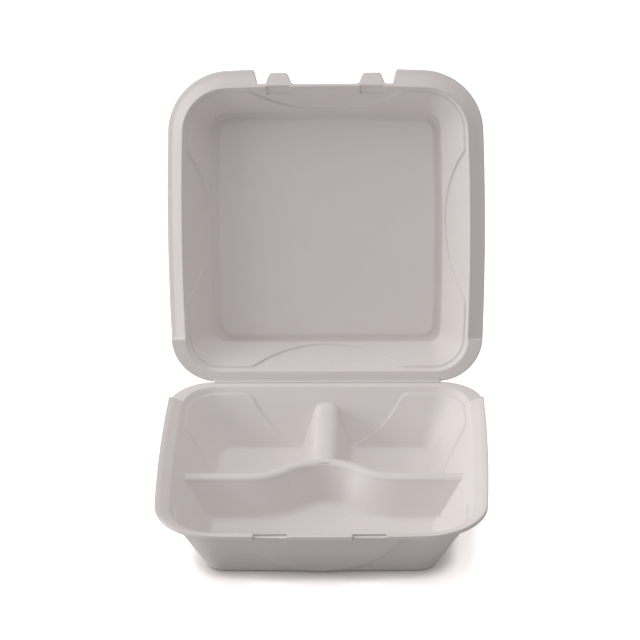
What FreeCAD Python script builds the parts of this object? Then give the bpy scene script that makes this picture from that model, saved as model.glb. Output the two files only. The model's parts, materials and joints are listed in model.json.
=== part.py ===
import FreeCAD, Part
import math
import os

# Hinged foam food container with three compartments, standing open.
# Millimetres. X runs along the hinge, Y towards the hinge side, Z up.
# The origin is on the resting plane, under the middle of the large
# compartment at the front, so the hinge lies behind it.
# The real container is one formed sheet. It is built here as two halves
# that meet at the pressed crease, because the lid half swings.

# Outline shared by both halves
width = 235.0
length = 233.0
front_corner_r = 46.0
rear_corner_r = 34.0
side_bow_r = 2000.0
hinge_y = 170.0

# Sheet
base_sheet = 2.6
base_wall_flat = 3.1
lid_sheet = 2.2
lid_wall_flat = 2.8
gap = 0.3

# Base depth and base floor
base_height = 40.0
floor_half_x = 81.0
floor_rear = 35.0
floor_front_in = 28.0
floor_corner_r = 12.0
inside_edge_r = 5.0
outside_edge_r = 4.5

# Rim: flat flange at the hinge, raised lip on the other three sides
lip_band = 12.0
front_band = 13.5
rear_band = 8.7
lip_start = 32.0
lip_rise = 5.0
lip_outer_band = 3.6
lip_outer_rise = 0.9
opening_rear_r = 24.0
opening_front_r = 32.0
crease_chamfer = 1.4
wall_overlap = 0.25
lid_wall_lift = 0.4

# Lid dome, with its middle pressed back towards the food
lid_depth = 28.2
panel_half_x = 86.0
panel_rear = 25.0
panel_front = 198.5
panel_corner_r = 9.0
inset_start = 2.4
inset_end = 5.8
inset_rise = 1.4
open_angle = 107.0

# Bowl shaped relief on the four walls of both halves
relief_push = 1.3
relief_rim = 4.0
relief_low = 2.0
relief_turn_r = 8.0
base_relief_r = 63.6
lid_relief_r = 80.0

# Dividers of the base
divider_drop = 10.0
divider_line = 120.8
divider_top_half = 3.2
divider_foot_half = 18.0
bulge_height = 20.5
bulge_foot_height = 23.5
bulge_half_span = 55.0
divider_round_r = 3.4
divider_flare = 3.0
rib_top_half = 7.0
rib_foot_half = 18.5

# Closure at the front edge
tongue_x = 34.3
tongue_root = 20.4
tongue_tip = 14.6
tongue_reach = 3.0
tongue_corner = 1.6
lip_stop_x = 49.5
lip_stop_slant = 2.0
lip_stop_corner = 3.0
pocket_width = 23.0
pocket_depth = 0.5
channel_width = 17.0
channel_push = 1.2
channel_depth = 9.0

# Derived sizes
middle = length / 2
half_x = width / 2
plate_x = half_x + 5.0
big = 400.0
volume_slack = 20.0
divider_top_z = base_height - divider_drop
lid_lip_start = lip_start - gap - lid_sheet
tongue_start = length - front_band + lid_wall_flat
pocket_start = length - front_band + base_wall_flat
vector = FreeCAD.Vector


def meet(ax, ay, ar, bx, by, br, sign_x, sign_y):
    # Crossing of two circles, in the quarter given by the two signs.
    dx = bx - ax
    dy = by - ay
    d = math.hypot(dx, dy)
    along = (ar * ar - br * br + d * d) / (2 * d)
    off = math.sqrt(ar * ar - along * along)
    mx = ax + along * dx / d
    my = ay + along * dy / d
    best = None
    for s in (-1, 1):
        x = mx - s * off * dy / d
        y = my + s * off * dx / d
        score = sign_x * x + sign_y * y
        if best is None or score > best[0]:
            best = (score, x, y)
    return best[1], best[2]


def arc(a, mid, b):
    return Part.Arc(a, mid, b).toShape()


def outline(hx, rear, front, r_rear, r_front, z):
    # Rounded square. The hinge side is straight, the other three sides
    # bow out a little, and every corner runs on without a kink.
    bow = side_bow_r
    ym = -(rear + front) / 2
    sx = hx - bow
    fy = -front + bow
    cx, cy = meet(sx, ym, bow - r_front, 0.0, fy, bow - r_front, 1, -1)
    ang_s = math.atan2(cy - ym, cx - sx)
    ang_f = math.atan2(cy - fy, cx)
    side_low = vector(sx + bow * math.cos(ang_s), ym + bow * math.sin(ang_s), z)
    front_pt = vector(bow * math.cos(ang_f), fy + bow * math.sin(ang_f), z)
    mid_f = (ang_s + ang_f) / 2
    corner_f = vector(cx + r_front * math.cos(mid_f), cy + r_front * math.sin(mid_f), z)
    ry = -rear - r_rear
    rx = sx + math.sqrt((bow - r_rear) ** 2 - (ry - ym) ** 2)
    ang_r = math.atan2(ry - ym, rx - sx)
    side_high = vector(sx + bow * math.cos(ang_r), ym + bow * math.sin(ang_r), z)
    rear_pt = vector(rx, -rear, z)
    mid_r = (ang_r + math.pi / 2) / 2
    corner_r = vector(rx + r_rear * math.cos(mid_r), ry + r_rear * math.sin(mid_r), z)
    side_mid = vector(hx, ym, z)
    front_mid = vector(0, -front, z)

    def flip(p):
        return vector(-p.x, p.y, p.z)

    edges = [
        arc(rear_pt, corner_r, side_high),
        arc(side_high, side_mid, side_low),
        arc(side_low, corner_f, front_pt),
        arc(front_pt, front_mid, flip(front_pt)),
        arc(flip(front_pt), flip(corner_f), flip(side_low)),
        arc(flip(side_low), flip(side_mid), flip(side_high)),
        arc(flip(side_high), flip(corner_r), flip(rear_pt)),
        Part.LineSegment(flip(rear_pt), rear_pt).toShape(),
    ]
    return Part.Wire(edges)


def loft(wires):
    return Part.makeLoft(wires, True, True)


def join(a, b):
    # One body out of two that overlap. Where faces nearly meet a union can
    # lose a body, so each result is checked before it is taken.
    need = max(a.Volume, b.Volume) - volume_slack
    for tolerance in (0.01, 0.0, 0.002):
        for first, second in ((a, b), (b, a)):
            result = first.fuse([second], tolerance)
            if len(result.Solids) == 1 and result.Volume >= need:
                return result.Solids[0]
    raise ValueError("two bodies that should meet do not join")


def take(a, b):
    # The first body less the second, checked in the same way.
    least = a.Volume - b.Volume - volume_slack
    for tolerance in (0.0, 0.01, 0.002):
        result = a.cut([b], tolerance)
        if len(result.Solids) == 1 and least <= result.Volume <= a.Volume + volume_slack:
            return result.Solids[0]
    raise ValueError("a cut leaves no single body")


def box(x0, x1, y0, y1, z0, z1):
    return Part.makeBox(x1 - x0, y1 - y0, z1 - z0, vector(x0, y0, z0))


def edge_outline(inset, z):
    return outline(
        half_x - inset,
        gap / 2 + inset,
        length - inset,
        rear_corner_r - inset,
        front_corner_r - inset,
        z,
    )


def opening_outline(grow, z):
    return outline(
        half_x - lip_band + grow,
        rear_band - grow,
        length - front_band + grow,
        opening_rear_r + grow,
        opening_front_r + grow,
        z,
    )


def lip_space(shift):
    # The room above the lip: it opens out in two slopes.
    rise_one = lip_rise - lip_outer_rise
    wires = [
        opening_outline(0.0, shift),
        edge_outline(lip_outer_band, shift + rise_one),
        edge_outline(0.0, shift + lip_rise),
    ]
    return loft(wires)


def prism(wire, height):
    return Part.Face(wire).extrude(vector(0, 0, height))


def half_space_front(y):
    return box(-big, big, -big, y, -big, big)


def half_space_rear(y):
    return box(-big, big, y, big, -big, big)


def rim(low, high, start):
    # low and high are the two faces of the sheet, measured from the flange
    # plane. The lip runs round the sides and the front and ends in a step
    # that rises from start towards the front.
    top = lip_rise + high
    upper = lip_space(high)
    lower = lip_space(low)
    cap = prism(edge_outline(0.0, lip_rise + low), high - low)
    hole = prism(opening_outline(0.0, low - 1.0), high - low + 2.0)
    lip = join(lower, cap).cut(upper).cut(hole)
    ring = prism(edge_outline(0.0, low), top - low).cut(upper).cut(hole)
    back = -start - (high - low)
    web = ring.common(box(-big, big, back, -start, -big, big))
    lip = join(lip.common(half_space_front(-start)), web)
    flat = prism(edge_outline(0.0, low), high - low)
    flat = flat.cut(hole)
    flat = flat.common(half_space_rear(back))
    return join(lip, flat)


def under_lip(level):
    # The room under the lid's lip, where the walls must not reach.
    block = prism(edge_outline(0.0, -1.0), level + lip_rise + 1.0)
    block = block.cut(lip_space(level))
    return block.common(half_space_front(-lid_lip_start))


def bowl_profile(radius, height):
    # Lower edge of the pushed out part of a wall, seen square to the wall.
    # A round bowl that turns out into the line that follows the rim.
    cz = relief_low + radius
    level = height - relief_rim
    drop = cz - level
    turn = relief_turn_r
    tx = math.sqrt((radius + turn) ** 2 - (drop + turn) ** 2)
    tz = level - turn
    k = radius / (radius + turn)
    join = vector(tx * k, 0, cz + (tz - cz) * k)
    ang_join = math.atan2(join.z - tz, join.x - tx)
    ang_mid = (ang_join + math.pi / 2) / 2
    mid = vector(tx + turn * math.cos(ang_mid), 0, tz + turn * math.sin(ang_mid))
    end = vector(tx, 0, level)
    low = vector(0, 0, relief_low)
    top = height + 20.0
    return [
        arc(vector(-end.x, 0, end.z), vector(-mid.x, 0, mid.z), vector(-join.x, 0, join.z)),
        arc(vector(-join.x, 0, join.z), low, join),
        arc(join, mid, end),
        Part.LineSegment(end, vector(end.x, 0, top)).toShape(),
        Part.LineSegment(vector(end.x, 0, top), vector(-end.x, 0, top)).toShape(),
        Part.LineSegment(vector(-end.x, 0, top), vector(-end.x, 0, end.z)).toShape(),
    ]


def relief_region(radius, height):
    # Everything in plan that lies above the bowl lines of the four walls.
    face = Part.Face(Part.Wire(bowl_profile(radius, height)))
    across = face.extrude(vector(0, big, 0))
    across.translate(vector(0, -big / 2 - middle, 0))
    along = face.extrude(vector(0, big, 0))
    along.translate(vector(0, -big / 2, 0))
    along.rotate(vector(0, 0, 0), vector(0, 0, 1), 90)
    along.translate(vector(0, -middle, 0))
    level = box(-big, big, -big, big, height - relief_rim, height + 20.0)
    return across.fuse(along).fuse(level)


def base_cup(grow, z_low, z_high):
    # Solid cup between two levels. grow widens it all round.
    run = base_height

    def at(z):
        f = z / run
        top_x = half_x - lip_band + base_wall_flat
        hx = floor_half_x + (top_x - floor_half_x) * f
        rear = floor_rear + (rear_band - base_wall_flat - floor_rear) * f
        low_front = length - floor_front_in
        top_front = pocket_start
        front = low_front + (top_front - low_front) * f
        r_rear = floor_corner_r + (opening_rear_r + base_wall_flat - floor_corner_r) * f
        r_front = floor_corner_r + (opening_front_r + base_wall_flat - floor_corner_r) * f
        return outline(hx + grow, rear - grow, front + grow, r_rear + grow, r_front + grow, z)

    return loft([at(z_low), at(z_high)])


def lid_cup(grow, z_low, z_high):
    # Lid dome measured up from the flange plane.
    run = lid_depth

    def at(z):
        f = z / run
        top_x = half_x - lip_band
        hx = top_x + (panel_half_x - top_x) * f
        rear = rear_band + (panel_rear - rear_band) * f
        top_front = length - front_band
        front = top_front + (panel_front - top_front) * f
        r_rear = opening_rear_r + (panel_corner_r - opening_rear_r) * f
        r_front = opening_front_r + (panel_corner_r - opening_front_r) * f
        return outline(hx + grow, rear - grow, front + grow, r_rear + grow, r_front + grow, z)

    return loft([at(z_low), at(z_high)])


def divider_wire(half, z):
    # The divider runs straight in from each side wall and swings round a
    # bulge in the middle. Both of its faces are parallel to that line.
    # The bulge grows a little towards the foot.
    deep = (divider_top_z - z) / divider_top_z
    bulge = bulge_height + (bulge_foot_height - bulge_height) * deep
    phi = 2 * math.atan(bulge / bulge_half_span)
    r = bulge_half_span / (2 * math.sin(phi))
    y_line = -divider_line
    y_top = y_line + bulge
    cy = y_top - r
    sy = y_line + r
    s = math.sin(phi)
    c = math.cos(phi)
    sh = math.sin(phi / 2)
    ch = math.cos(phi / 2)

    def side(w):
        inner = r + w
        outer = r - w
        knee = vector(inner * s, cy + inner * c, z)
        foot = vector(bulge_half_span, y_line + w, z)
        mid = vector(bulge_half_span - outer * sh, sy - outer * ch, z)
        crown = vector(0, cy + inner, z)
        end = vector(plate_x, y_line + w, z)
        return knee, foot, mid, crown, end

    def flip(p):
        return vector(-p.x, p.y, p.z)

    rk, rf, rm, rc, re = side(half)
    fk, ff, fm, fc, fe = side(-half)
    edges = [
        Part.LineSegment(flip(re), flip(rf)).toShape(),
        arc(flip(rf), flip(rm), flip(rk)),
        arc(flip(rk), rc, rk),
        arc(rk, rm, rf),
        Part.LineSegment(rf, re).toShape(),
        Part.LineSegment(re, fe).toShape(),
        Part.LineSegment(fe, ff).toShape(),
        arc(ff, fm, fk),
        arc(fk, fc, flip(fk)),
        arc(flip(fk), flip(fm), flip(ff)),
        Part.LineSegment(flip(ff), flip(fe)).toShape(),
        Part.LineSegment(flip(fe), flip(re)).toShape(),
    ]
    return Part.Wire(edges)


def rib_wire(half, z):
    y0 = -divider_line + bulge_height - divider_top_half
    pts = [
        vector(-half, 5.0, z),
        vector(half, 5.0, z),
        vector(half, y0, z),
        vector(-half, y0, z),
        vector(-half, 5.0, z),
    ]
    return Part.makePolygon(pts)


def dividers(shrink, z_low):
    # shrink zero gives the upper face of the ridges, shrink = base_sheet the
    # hollow under them. The tops are rounded in three slopes.
    top = divider_top_z - shrink
    rise = divider_top_z - base_sheet
    slope = (divider_foot_half - divider_top_half) / rise
    rib_slope = (rib_foot_half - rib_top_half) / rise
    shoulder = top - divider_round_r
    flat = shrink * math.hypot(1.0, slope)
    low_add = (divider_top_z - z_low) * slope
    rib_low_add = (divider_top_z - z_low) * rib_slope
    shoulder_add = (divider_top_z - shoulder) * slope
    rib_shoulder_add = (divider_top_z - shoulder) * rib_slope
    w_low = divider_top_half + low_add - flat
    w_shoulder = divider_top_half + shoulder_add - flat
    v_low = rib_top_half + rib_low_add - flat
    v_shoulder = rib_top_half + rib_shoulder_add - flat
    foot_z = max(z_low, base_sheet - shrink)
    flare = divider_flare
    main = [divider_wire(w_low + flare, z_low)]
    rib = [rib_wire(v_low + flare, z_low)]
    for part, up in ((0.5, 0.12), (0.16, 0.45), (0.0, 1.0)):
        z = foot_z + flare * up
        f = (z - z_low) / (shoulder - z_low)
        main.append(divider_wire(w_low + (w_shoulder - w_low) * f + flare * part, z))
        rib.append(rib_wire(v_low + (v_shoulder - v_low) * f + flare * part, z))
    for part, up in ((1.0, 0.0), (0.86, 0.5), (0.56, 0.866), (0.2, 1.0)):
        z = shoulder + divider_round_r * up
        main.append(divider_wire(max(w_shoulder * part, 0.5), z))
        rib.append(rib_wire(max(v_shoulder * part, 0.4), z))
    return join(loft(main), loft(rib))


def round_edge(solid, radius, z):
    # Rounds every edge that lies in the level z.
    chosen = []
    for edge in solid.Edges:
        b = edge.BoundBox
        if abs(b.ZMin - z) < 0.01 and abs(b.ZMax - z) < 0.01:
            chosen.append(edge)
    return solid.makeFillet(radius, chosen)


def base_tray():
    # Outer body less the hollow under the ridges, less the room for food.
    top = base_height
    region = relief_region(base_relief_r, top)
    wall_top = top - wall_overlap
    body = round_edge(base_cup(0.0, 0.0, wall_top), outside_edge_r, 0.0)
    pushed = round_edge(base_cup(relief_push, 0.0, wall_top), outside_edge_r, 0.0)
    body = join(body, pushed.common(region))
    body = take(body, dividers(base_sheet, -1.0))
    room = round_edge(base_cup(-base_wall_flat, base_sheet, top + 1.0), inside_edge_r, base_sheet)
    pushed = base_cup(relief_push - base_wall_flat, base_sheet, top + 1.0)
    pushed = round_edge(pushed, inside_edge_r, base_sheet)
    room = take(join(room, pushed.common(region)), dividers(0.0, 0.0))
    rim_part = rim(-base_sheet, 0.0, lip_start)
    rim_part.translate(vector(0, 0, top))
    shell = take(join(body, rim_part), room)
    shell = add_pockets(shell)
    shell = crease_relief(shell, top, -1, base_sheet)
    shell.translate(vector(0, hinge_y, 0))
    return clean(shell)


def add_pockets(shell):
    # Two shallow pockets pressed into the front lip take the tongues.
    half = pocket_width / 2
    sunk = rim(-base_sheet, 0.0, lip_start)
    sunk.translate(vector(0, 0, base_height - pocket_depth))
    over = lip_space(0.0)
    over.translate(vector(0, 0, base_height - pocket_depth))
    cap = prism(edge_outline(0.0, base_height), big)
    over = over.fuse(cap.cut(prism(opening_outline(0.0, base_height), big)))
    over = over.common(half_space_front(-pocket_start))
    for side in (-1, 1):
        x = side * tongue_x
        x0 = x - half
        x1 = x + half
        wide = box(x0 - base_sheet, x1 + base_sheet, -big, -pocket_start + base_sheet, 0.0, big)
        narrow = box(x0, x1, -big, -pocket_start, 0.0, big)
        shell = join(shell, sunk.common(wide))
        shell = take(shell, over.common(narrow))
    return shell


def crease_relief(shell, flange, side, sheet):
    # The sheet is pressed thin along the hinge line, on its outer face.
    c = crease_chamfer
    z_out = flange + side * sheet
    pts = [
        vector(-big, 0.0, z_out),
        vector(-big, -c - gap, z_out),
        vector(-big, 0.0, z_out - side * c),
        vector(-big, 0.0, z_out),
    ]
    wedge = Part.Face(Part.makePolygon(pts)).extrude(vector(2 * big, 0, 0))
    return take(shell, wedge)


def tongue_column(side):
    # Plan of a tongue: it narrows to a blunt end with cut corners.
    x = side * tongue_x
    a = tongue_root / 2
    b = tongue_tip / 2
    c = tongue_corner
    y0 = -tongue_start + 1.0
    y1 = -length + tongue_reach
    pts = [
        vector(x - a, y0, -big),
        vector(x - b, y1 + c, -big),
        vector(x - b + c, y1, -big),
        vector(x + b - c, y1, -big),
        vector(x + b, y1 + c, -big),
        vector(x + a, y0, -big),
        vector(x - a, y0, -big),
    ]
    return Part.Face(Part.makePolygon(pts)).extrude(vector(0, 0, 2 * big))


def lip_gap():
    # The lid has no lip between its two stops, apart from the tongues.
    a = lip_stop_x
    b = lip_stop_x + lip_stop_slant
    c = lip_stop_corner
    y0 = -tongue_start
    y1 = -length + c
    pts = [
        vector(-a, y0, -big),
        vector(-b, y1, -big),
        vector(-b - c, y1 - 2 * c, -big),
        vector(b + c, y1 - 2 * c, -big),
        vector(b, y1, -big),
        vector(a, y0, -big),
        vector(-a, y0, -big),
    ]
    gap_solid = Part.Face(Part.makePolygon(pts)).extrude(vector(0, 0, 2 * big))
    return gap_solid.cut(tongue_column(-1)).cut(tongue_column(1))


def lid_frustum(near, far, low, high):
    # Flat block whose edge slopes from one inset to another.
    wires = []
    for inset, z in ((near, low), (far, high)):
        r = panel_corner_r - inset + inset_end
        wires.append(outline(
            panel_half_x - inset, panel_rear + inset, panel_front - inset, r, r, z))
    return loft(wires)


def lid():
    # Built as it lies closed, dome up, then swung open about the crease.
    low = gap / 2
    high = low + lid_sheet
    top = lid_depth
    region = relief_region(lid_relief_r, top)
    region.rotate(vector(0, 0, 0), vector(0, 1, 0), 180)
    region.translate(vector(0, 0, top))
    push = relief_push
    dent = push + channel_push
    room = join(lid_cup(0.0, -1.0, top), lid_cup(push, -1.0, top).common(region))
    wall_low = low + wall_overlap
    body = lid_cup(lid_wall_flat, wall_low, top + lid_sheet)
    body = join(body, lid_cup(lid_wall_flat + push, wall_low, top).common(region))
    half = channel_width / 2
    for side in (-1, 1):
        x = side * tongue_x
        slot = box(x - half, x + half, -big, -middle, -1.0, channel_depth)
        room = join(room, lid_cup(dent, -1.0, top).common(slot))
        half += lid_sheet
        slot = box(x - half, x + half, -big, -middle, low, channel_depth + lid_sheet)
        body = join(body, lid_cup(lid_wall_flat + dent, wall_low, top).common(slot))
        half -= lid_sheet
    room = take(room, lid_frustum(inset_end, inset_start, top - inset_rise, top))
    dish = lid_frustum(inset_end, inset_start, top + lid_sheet - inset_rise, top + lid_sheet)
    body = take(take(body, dish), under_lip(low + lid_wall_lift))
    rim_part = rim(low, high, lid_lip_start).cut(lip_gap())
    shell = take(join(body, rim_part), room)
    shell = crease_relief(shell, low, 1, lid_sheet)
    shell.rotate(vector(0, 0, 0), vector(1, 0, 0), -open_angle)
    shell.translate(vector(0, hinge_y, base_height + gap / 2))
    return clean(shell)


def clean(shape):
    shape = shape.removeSplitter()
    if shape.ShapeType == "Compound" and len(shape.Solids) == 1:
        shape = shape.Solids[0]
    return shape


os.makedirs("parts", exist_ok=True)
tray_shape = base_tray()
tray_shape.exportStep("parts/base_tray.step")
lid_shape = lid()
lid_shape.exportStep("parts/lid.step")
for name, shape in (("base_tray", tray_shape), ("lid", lid_shape)):
    box_size = shape.BoundBox
    print(name, "solids", len(shape.Solids), "valid", shape.isValid(), "faces", len(shape.Faces))
    print("  volume mm3", round(shape.Volume), "centre", shape.CenterOfMass)
    print("  from", box_size.XMin, box_size.YMin, box_size.ZMin)
    print("  to", box_size.XMax, box_size.YMax, box_size.ZMax)
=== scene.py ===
# %% [markdown]
# # Foam clamshell container
#
# A square takeaway container of white foamed polystyrene stands open on a
# table. Its tray and its lid are formed from one sheet, and the lid swings on
# a crease that is pressed into that sheet.
#
# Both halves come from the CAD model, which holds the walls, the dividers,
# the lip and the small tongues. This lesson gives them the look of foam, puts
# the pressed crease between them, and lights them as the photo is lit.

# %% Start: bring in the container
import json
import math

import bmesh
import bpy
from mathutils import Matrix, Vector


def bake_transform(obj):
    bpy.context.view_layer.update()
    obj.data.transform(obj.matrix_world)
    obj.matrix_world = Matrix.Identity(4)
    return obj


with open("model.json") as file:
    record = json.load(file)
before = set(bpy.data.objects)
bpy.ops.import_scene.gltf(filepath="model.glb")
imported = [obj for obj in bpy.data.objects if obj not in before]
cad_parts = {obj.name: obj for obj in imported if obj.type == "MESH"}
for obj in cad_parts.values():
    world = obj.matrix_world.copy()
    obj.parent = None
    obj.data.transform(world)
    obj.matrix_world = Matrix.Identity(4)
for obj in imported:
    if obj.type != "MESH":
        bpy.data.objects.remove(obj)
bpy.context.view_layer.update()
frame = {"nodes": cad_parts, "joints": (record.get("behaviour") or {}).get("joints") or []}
tray = frame["nodes"]["base_tray"]
lid = frame["nodes"]["lid"]
hinge = Vector(frame["joints"][0]["pos_m"])
print("crease at", [round(v, 5) for v in hinge])

# %% [markdown]
# ## What the surface of foam is like
#
# The sheet is made of cells a few tenths of a millimetre wide under a thin
# satin skin. From a step away it looks smooth, but the skin is never quite
# flat, so highlights on it break up a little. A fine cell pattern in the
# surface normal does this. A wider, weaker one stands for the slight waves
# that forming leaves.
#
# No edge on formed foam is sharp. The bevel node rounds every edge in the
# shading, by a little less than the sheet is thick.
#
# A picture of foam could give the pattern too, but it would have to be
# wrapped round every wall and lip. A pattern that is worked out from the
# place in space needs no wrapping and has no seams. The formed sheet and the
# pressed crease both need it, so it is a node group that puts out a normal
# and a tone.

# %% Foam skin as a node group
CELL_SOFTNESS = 0.6
CELL_STRENGTH = 0.5
WAVES_PER_METRE = 38.0
WAVE_DETAIL = 3.0
WAVE_ROUGHNESS = 0.55
WAVE_STRENGTH = 0.35
WAVE_HEIGHT = 0.0012
EDGE_SAMPLES = 8


def foam_skin_group():
    group = bpy.data.node_groups.new("Foam skin", "ShaderNodeTree")
    group.interface.new_socket("Cell size", in_out="INPUT", socket_type="NodeSocketFloat")
    group.interface.new_socket("Cell depth", in_out="INPUT", socket_type="NodeSocketFloat")
    group.interface.new_socket("Edge radius", in_out="INPUT", socket_type="NodeSocketFloat")
    group.interface.new_socket("Normal", in_out="OUTPUT", socket_type="NodeSocketVector")
    group.interface.new_socket("Tone", in_out="OUTPUT", socket_type="NodeSocketFloat")
    nodes, links = group.nodes, group.links
    inputs = nodes.new("NodeGroupInput")
    outputs = nodes.new("NodeGroupOutput")
    place = nodes.new("ShaderNodeTexCoord")

    cells_per_metre = nodes.new("ShaderNodeMath")
    cells_per_metre.operation = "DIVIDE"
    cells_per_metre.inputs[0].default_value = 1.0
    links.new(inputs.outputs["Cell size"], cells_per_metre.inputs[1])

    cells = nodes.new("ShaderNodeTexVoronoi")
    cells.feature = "SMOOTH_F1"
    cells.inputs["Smoothness"].default_value = CELL_SOFTNESS
    links.new(place.outputs["Object"], cells.inputs["Vector"])
    links.new(cells_per_metre.outputs[0], cells.inputs["Scale"])

    waves = nodes.new("ShaderNodeTexNoise")
    waves.inputs["Scale"].default_value = WAVES_PER_METRE
    waves.inputs["Detail"].default_value = WAVE_DETAIL
    waves.inputs["Roughness"].default_value = WAVE_ROUGHNESS
    links.new(place.outputs["Object"], waves.inputs["Vector"])

    round_edges = nodes.new("ShaderNodeBevel")
    round_edges.samples = EDGE_SAMPLES
    links.new(inputs.outputs["Edge radius"], round_edges.inputs["Radius"])

    wave_bump = nodes.new("ShaderNodeBump")
    wave_bump.inputs["Strength"].default_value = WAVE_STRENGTH
    wave_bump.inputs["Distance"].default_value = WAVE_HEIGHT
    links.new(waves.outputs[0], wave_bump.inputs["Height"])
    links.new(round_edges.outputs[0], wave_bump.inputs["Normal"])

    cell_bump = nodes.new("ShaderNodeBump")
    cell_bump.inputs["Strength"].default_value = CELL_STRENGTH
    links.new(inputs.outputs["Cell depth"], cell_bump.inputs["Distance"])
    links.new(cells.outputs["Distance"], cell_bump.inputs["Height"])
    links.new(wave_bump.outputs[0], cell_bump.inputs["Normal"])

    links.new(cell_bump.outputs[0], outputs.inputs["Normal"])
    links.new(waves.outputs[0], outputs.inputs["Tone"])
    return group


foam_skin = foam_skin_group()
print("foam skin group has", len(foam_skin.nodes), "nodes")

# %% [markdown]
# ## Two finishes of the same foam
#
# The formed sheet is white with a satin skin. Light enters it and comes out
# again close by, which softens the shading in the corners, so it has a little
# subsurface scattering. A plain matt white would look like plaster.
#
# Along the crease the cells are crushed. The foam is denser there and a touch
# shinier. One function makes both finishes, with different values.

# %% Foam materials
SKIN_SPECULAR = 0.4
SCATTERED_SHARE = 0.12
SCATTER_REACH = 0.003
SCATTER_BY_COLOUR = (1.0, 0.85, 0.8)
DARK_TONE_FROM = 0.3
LIGHT_TONE_FROM = 0.7


def foam_material(name, light_tone, dark_tone, roughness, cell_size, cell_depth, edge_radius):
    material = bpy.data.materials.new(name)
    material.use_nodes = True
    nodes, links = material.node_tree.nodes, material.node_tree.links
    shader = nodes["Principled BSDF"]
    skin = nodes.new("ShaderNodeGroup")
    skin.node_tree = foam_skin
    skin.inputs["Cell size"].default_value = cell_size
    skin.inputs["Cell depth"].default_value = cell_depth
    skin.inputs["Edge radius"].default_value = edge_radius
    tones = nodes.new("ShaderNodeValToRGB")
    dark_end, light_end = tones.color_ramp.elements
    dark_end.position = DARK_TONE_FROM
    dark_end.color = (*dark_tone, 1.0)
    light_end.position = LIGHT_TONE_FROM
    light_end.color = (*light_tone, 1.0)
    links.new(skin.outputs["Tone"], tones.inputs["Fac"])
    links.new(tones.outputs["Color"], shader.inputs["Base Color"])
    links.new(skin.outputs["Normal"], shader.inputs["Normal"])
    shader.inputs["Roughness"].default_value = roughness
    shader.inputs["Specular IOR Level"].default_value = SKIN_SPECULAR
    shader.inputs["Subsurface Weight"].default_value = SCATTERED_SHARE
    shader.inputs["Subsurface Radius"].default_value = SCATTER_BY_COLOUR
    shader.inputs["Subsurface Scale"].default_value = SCATTER_REACH
    return material


formed_foam = foam_material(
    "Formed foam", (0.80, 0.765, 0.755), (0.785, 0.75, 0.74),
    roughness=0.44, cell_size=0.0007, cell_depth=0.00004, edge_radius=0.0018)
pressed_foam = foam_material(
    "Pressed foam", (0.80, 0.77, 0.76), (0.78, 0.75, 0.74),
    roughness=0.42, cell_size=0.0005, cell_depth=0.00002, edge_radius=0.0003)
for half in (tray, lid):
    half.data.materials.clear()
    half.data.materials.append(formed_foam)
print("materials:", formed_foam.name, "and", pressed_foam.name)

# %% [markdown]
# ## The pressed crease
#
# In the real sheet the tray's flange runs on into the lid's flange through a
# thin pressed band, and that band is what bends. The CAD model leaves a hair
# of room between the halves there, so that the lid can swing.
#
# The band is a thin strip of many rows that reaches across both halves with the
# lid standing open: its first rows lie on the tray, its last on the lid, and
# those between turn smoothly. It lies on the inner faces of the two flanges,
# and it is thin enough to lie folded in the gap of the closed lid.
#
# First comes its path across the crease. Flat stretches lie on the flanges,
# and between them it follows a curve that is pulled towards the crease.

# %% Path across the crease
def crease_path(reach, inset, depth, open_angle, pull, rows):
    along_tray = Vector((0.0, -1.0, 0.0))
    under_tray = Vector((0.0, 0.0, -1.0))
    swing = Matrix.Rotation(-open_angle, 3, "X")
    along_lid = swing @ Vector((0.0, -1.0, 0.0))
    over_lid = swing @ Vector((0.0, 0.0, 1.0))
    start = along_tray * inset + under_tray * depth
    end = along_lid * inset + over_lid * depth
    bend = (start + end) * pull
    path = [start + along_tray * reach, start]
    normals = [under_tray, under_tray]
    for i in range(1, rows):
        f = i / rows
        path.append(start * (1 - f) ** 2 + bend * (2 * f * (1 - f)) + end * f ** 2)
        normals.append((under_tray * (1 - f) + over_lid * f).normalized())
    path += [end, end + along_lid * reach]
    normals += [over_lid, over_lid]
    return path, normals


OPEN_ANGLE = math.radians(107.0)
CREASE_GAP = 0.0003
BAND_THICKNESS = 0.0001
BAND_LIFT = 0.00002
band_path, band_normals = crease_path(
    reach=0.0016, inset=0.0007, depth=CREASE_GAP / 2 - BAND_LIFT - BAND_THICKNESS / 2,
    open_angle=OPEN_ANGLE, pull=0.2, rows=12)
print("the crease band has", len(band_path), "rows")

# %% [markdown]
# The path becomes a closed thin strip: two lines of points at each row, one
# on each side of the sheet, with faces between them and round the edges. A
# plain surface with a Solidify modifier would look the same, but here the
# edges that fold stay exactly where the path puts them.
#
# The columns are narrow. At the ends of the strip the shading of the last
# column leans towards the thin end face, and a wide one would show there as
# a light or dark spot.

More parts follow.
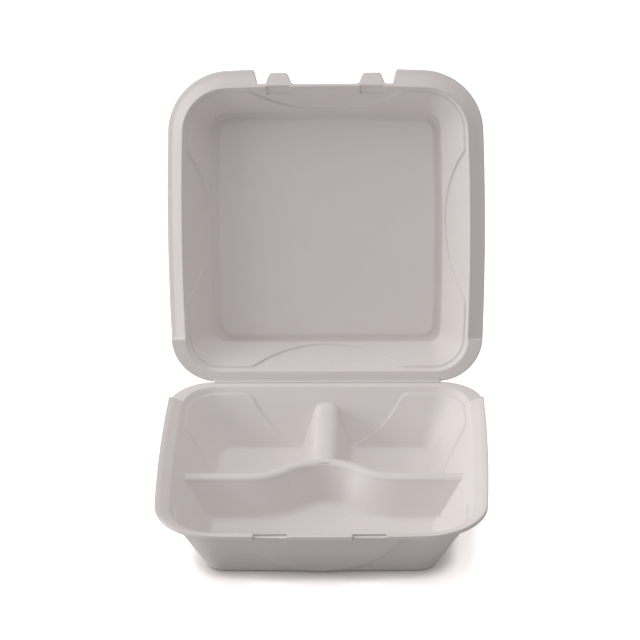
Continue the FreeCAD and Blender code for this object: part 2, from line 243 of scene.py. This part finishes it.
# %% Crease band
def crease_band(path, normals, half_length, thickness, columns):
    mesh = bmesh.new()
    lines = []
    for point, normal in zip(path, normals):
        for side in (-0.5, 0.5):
            line = []
            for k in range(columns + 1):
                x = half_length * (2 * k / columns - 1)
                where = hinge + point + normal * (side * thickness)
                line.append(mesh.verts.new((x, where.y, where.z)))
            lines.append(line)
    count = len(path)
    for i in range(count - 1):
        for k in range(columns):
            for s in (0, 1):
                a, b = lines[2 * i + s], lines[2 * i + 2 + s]
                quad = (a[k], a[k + 1], b[k + 1], b[k])
                mesh.faces.new(quad if s == 0 else quad[::-1]).smooth = True
        for k in (0, columns):
            a0, a1, b0, b1 = [line[k] for line in lines[2 * i:2 * i + 4]]
            mesh.faces.new((a0, b0, b1, a1) if k == 0 else (a0, a1, b1, b0))
    for i in (0, count - 1):
        for k in range(columns):
            a, b = lines[2 * i], lines[2 * i + 1]
            quad = (a[k], b[k], b[k + 1], a[k + 1])
            mesh.faces.new(quad if i == 0 else quad[::-1])
    bmesh.ops.recalc_face_normals(mesh, faces=mesh.faces)
    data = bpy.data.meshes.new("crease_band")
    mesh.to_mesh(data)
    mesh.free()
    band = bpy.data.objects.new("crease_band", data)
    bpy.context.scene.collection.objects.link(band)
    return band


band = crease_band(
    band_path, band_normals, half_length=0.0842, thickness=BAND_THICKNESS, columns=240)
band.data.materials.append(pressed_foam)
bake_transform(band)
print("crease band has", len(band.data.polygons), "faces")

# %% [markdown]
# ## The table and the white background
#
# The photo has a plain white ground with one soft shadow under the tray. A
# wide floor fills the picture. A floor that is bright enough to look pure
# white would also throw too much light up at the container. So it is a pale
# diffuse surface for every ray that comes off the container, and the camera
# alone sees it brighter.
#
# The camera also sees it darken over the last centimetre or so beside the
# tray. The Ambient Occlusion node measures how closed in each point is, and
# that gives the contact shadow of the photo.

# %% Floor
FLOOR_WIDTH = 14.0
CLOSENESS_SAMPLES = 12
CLOSED_IN = 0.35
OPEN_GROUND = 0.95


def floor_material(colour, camera_gain, contact_reach, contact_tone):
    material = bpy.data.materials.new("White ground")
    material.use_nodes = True
    nodes, links = material.node_tree.nodes, material.node_tree.links
    nodes.remove(nodes["Principled BSDF"])
    matt = nodes.new("ShaderNodeBsdfDiffuse")
    path = nodes.new("ShaderNodeLightPath")

    closeness = nodes.new("ShaderNodeAmbientOcclusion")
    closeness.samples = CLOSENESS_SAMPLES
    closeness.inputs["Distance"].default_value = contact_reach
    seen = nodes.new("ShaderNodeMapRange")
    seen.interpolation_type = "SMOOTHSTEP"
    seen.inputs["From Min"].default_value = CLOSED_IN
    seen.inputs["From Max"].default_value = OPEN_GROUND
    seen.inputs["To Min"].default_value = contact_tone * camera_gain
    seen.inputs["To Max"].default_value = camera_gain
    links.new(closeness.outputs["AO"], seen.inputs["Value"])

    gain = nodes.new("ShaderNodeMix")
    gain.data_type = "FLOAT"
    gain.inputs["A"].default_value = 1.0
    links.new(path.outputs["Is Camera Ray"], gain.inputs["Factor"])
    links.new(seen.outputs["Result"], gain.inputs["B"])
    tint = nodes.new("ShaderNodeVectorMath")
    tint.operation = "SCALE"
    tint.inputs[0].default_value = colour
    links.new(gain.outputs["Result"], tint.inputs["Scale"])
    links.new(tint.outputs[0], matt.inputs["Color"])
    links.new(matt.outputs[0], nodes["Material Output"].inputs["Surface"])
    return material


bpy.ops.mesh.primitive_plane_add(size=FLOOR_WIDTH, location=(0.0, 0.0, 0.0))
floor = bpy.context.object
floor.name = "floor"
floor.data.materials.append(floor_material(
    colour=(0.835, 0.845, 0.85), camera_gain=3.5, contact_reach=0.015, contact_tone=0.46))
print("floor is", round(floor.dimensions.x, 1), "m wide")

# %% [markdown]
# ## The surround
#
# A white room sends light back from everywhere. An even world colour stands
# for it, slightly warm, and it keeps the shaded walls of the container from
# going dark. Lamps all round could do the same, at the cost of more noise.

# %% World
SURROUND_COLOUR = (1.0, 0.945, 0.93)
SURROUND_STRENGTH = 0.355

world = bpy.data.worlds.new("Soft surround")
bpy.context.scene.world = world
world.use_nodes = True
surround = world.node_tree.nodes["Background"]
surround.inputs["Color"].default_value = (*SURROUND_COLOUR, 1.0)
surround.inputs["Strength"].default_value = SURROUND_STRENGTH
print("surround at strength", SURROUND_STRENGTH)

# %% [markdown]
# ## The lamps
#
# A large soft key light stands low on the left, so the walls and lips that
# face left are the brightest and those that face right the darkest. A weaker
# one above it softens that, and one straight overhead lights the floors of
# the compartments and lays the shadow under the tray's rim. Area lights are
# used because their size sets how soft a shadow is.
#
# The background of the photo shows no shadow from the side, as it was lit by
# itself. So the two lights on the left leave out the floor.

# %% Lights
LIGHT_WIDTH = 1.5
LIGHT_DISTANCE = 2.0
LIT_POINT = Vector((0.0, 0.11, 0.10))
SIDE_COLOUR = (1.0, 0.985, 0.975)
TOP_COLOUR = (1.0, 0.985, 0.98)


def soft_light(name, direction, energy, colour):
    data = bpy.data.lights.new(name, "AREA")
    data.shape = "SQUARE"
    data.size = LIGHT_WIDTH
    data.energy = energy
    data.color = colour
    light = bpy.data.objects.new(name, data)
    bpy.context.scene.collection.objects.link(light)
    away = Vector(direction).normalized()
    light.location = LIT_POINT + away * LIGHT_DISTANCE
    light.rotation_euler = (-away).to_track_quat("-Z", "Y").to_euler()
    return light


key = soft_light("Key light", (-0.97, -0.12, 0.14), 28.0, SIDE_COLOUR)
upper = soft_light("Upper left light", (-0.75, 0.20, 0.65), 5.5, SIDE_COLOUR)
top = soft_light("Top light", (0.0, 0.0, 1.0), 13.2, TOP_COLOUR)
not_lit = bpy.data.collections.new("Left out by the side lights")
not_lit.objects.link(floor)
not_lit.collection_objects[0].light_linking.link_state = "EXCLUDE"
for light in (key, upper):
    light.light_linking.receiver_collection = not_lit
for light in (key, upper, top):
    print(light.name, "at", [round(v, 2) for v in light.location])

# %% [markdown]
# ## The camera
#
# The photo was taken with a long lens from the front, about 27 degrees above
# the table and turned a little to the right. The picture is also turned by
# one degree. A camera could be set by eye, but then a wrong shape couldn't be
# told from a wrong view. These values come from fitting the corners of the
# rims, the crease and the floor of the tray to the photo.

# %% Camera
azimuth = math.radians(1.86)
elevation = math.radians(27.45)
roll = math.radians(1.0)
distance = 2.520
look_at = Vector((-0.00257, 0.110, 0.1229))
focal_pixels = 3509.0
picture_pixels = 640.0
sensor_millimetres = 36.0
nearest = 0.1
farthest = 30.0

back = Vector((
    math.sin(azimuth) * math.cos(elevation),
    -math.cos(azimuth) * math.cos(elevation),
    math.sin(elevation)))
level = Vector((math.cos(azimuth), math.sin(azimuth), 0.0))
above = back.cross(level)
right = level * math.cos(roll) - above * math.sin(roll)
up = level * math.sin(roll) + above * math.cos(roll)

camera_data = bpy.data.cameras.new("Camera")
camera_data.sensor_width = sensor_millimetres
camera_data.lens = focal_pixels * sensor_millimetres / picture_pixels
camera_data.clip_start = nearest
camera_data.clip_end = farthest
camera_data.dof.use_dof = False
camera = bpy.data.objects.new("Camera", camera_data)
bpy.context.scene.collection.objects.link(camera)
turn = Matrix((right, up, back)).transposed().to_4x4()
camera.matrix_world = Matrix.Translation(look_at + back * distance) @ turn
bpy.context.scene.camera = camera
bpy.context.scene.view_settings.view_transform = "Standard"
print("camera lens", round(camera_data.lens, 1), "mm at", [round(v, 3) for v in camera.location])
